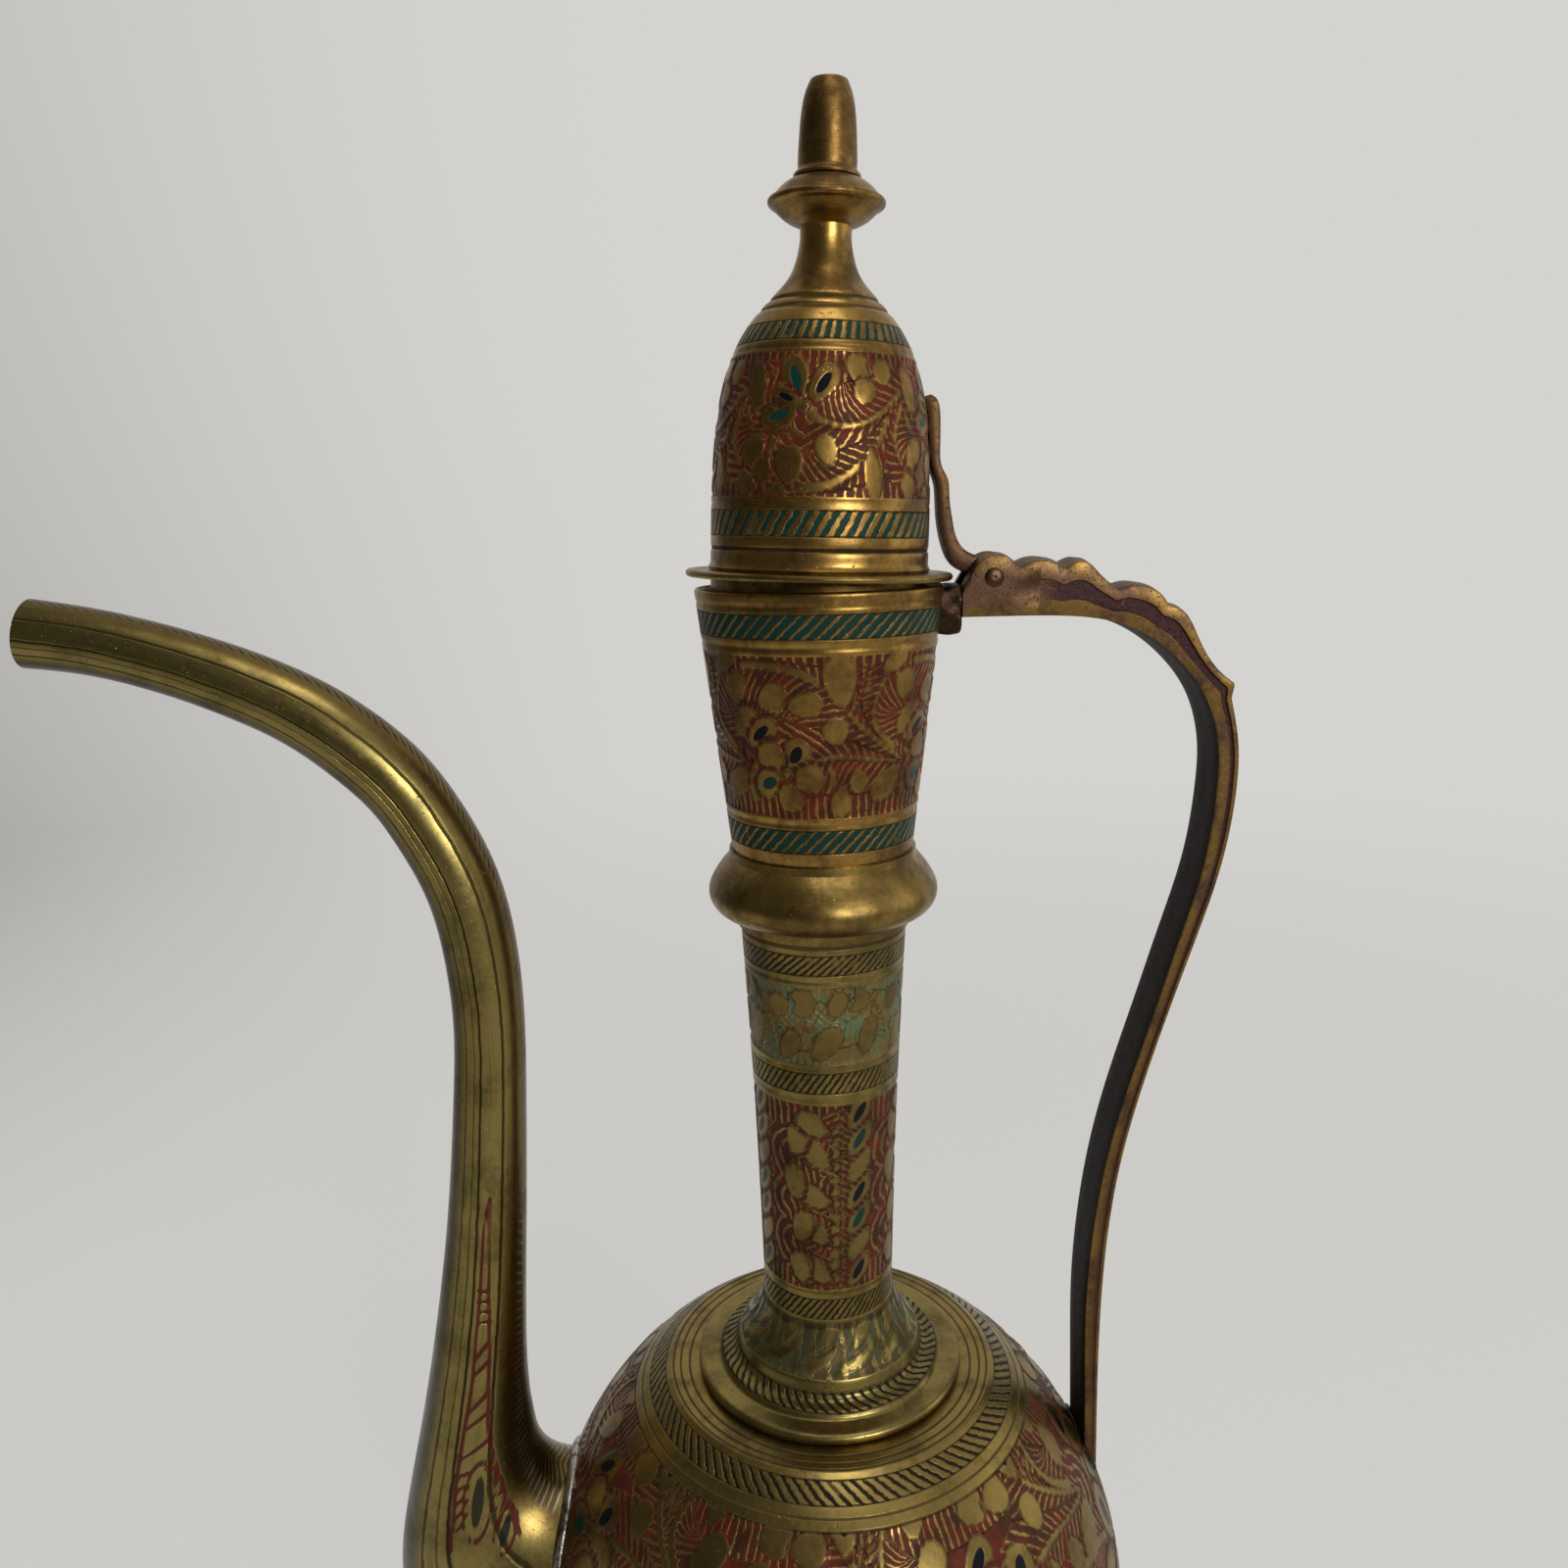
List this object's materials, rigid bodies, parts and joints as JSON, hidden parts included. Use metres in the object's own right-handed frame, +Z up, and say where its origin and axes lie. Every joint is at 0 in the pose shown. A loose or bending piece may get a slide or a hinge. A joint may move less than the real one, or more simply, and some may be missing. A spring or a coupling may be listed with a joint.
{
  "type": "coffee pot",
  "caption": "Long-necked engraved brass coffee pot with a round body, swan-neck spout, scalloped strap handle and a domed lid on a hinge.",
  "frame": {"origin": "on the pot's turning axis at the bottom of the foot", "axes": "+Z up along the turning axis, +X towards the handle, -X towards the spout"},
  "size_m": [0.2336, 0.13, 0.401],
  "materials": {
    "engraved_brass": "engraved brass with red, green and dark enamel in the cuts, worn",
    "plain_brass": "turned brass, brown patina",
    "spout_brass": "filed brass with engraved lines, olive patina",
    "dark_brass": "cast brass, dark brown patina, red enamel in its channel",
    "solder": "grey soft solder",
    "hinge_pin": "dull iron wire"
  },
  "bodies": {
    "pot": {"foot": "plain_brass", "body_lower": "engraved_brass", "body_upper": "engraved_brass", "neck_base": "engraved_brass", "neck_tube": "engraved_brass", "neck_bead": "plain_brass", "neck_cup": "engraved_brass", "spout_lower": "spout_brass", "spout_upper": "spout_brass", "spout_seam": "solder", "handle": "dark_brass", "handle_top_pad": "dark_brass", "handle_foot_pad": "solder", "hinge_pin": "hinge_pin"},
    "lid": {"lid_dome": "engraved_brass", "lid_flange": "plain_brass", "lid_spigot": "plain_brass", "finial_disc": "plain_brass", "finial_tip": "plain_brass", "finial_stud": "plain_brass", "hinge_strap": "dark_brass"}
  },
  "joints": [
    {"name": "lid_hinge", "type": "hinge", "parent": "pot", "child": "lid", "pos_m": [0.033, 0, 0.31297], "axis": [0, 1, 0], "range_deg": [-2, 98]}
  ]
}
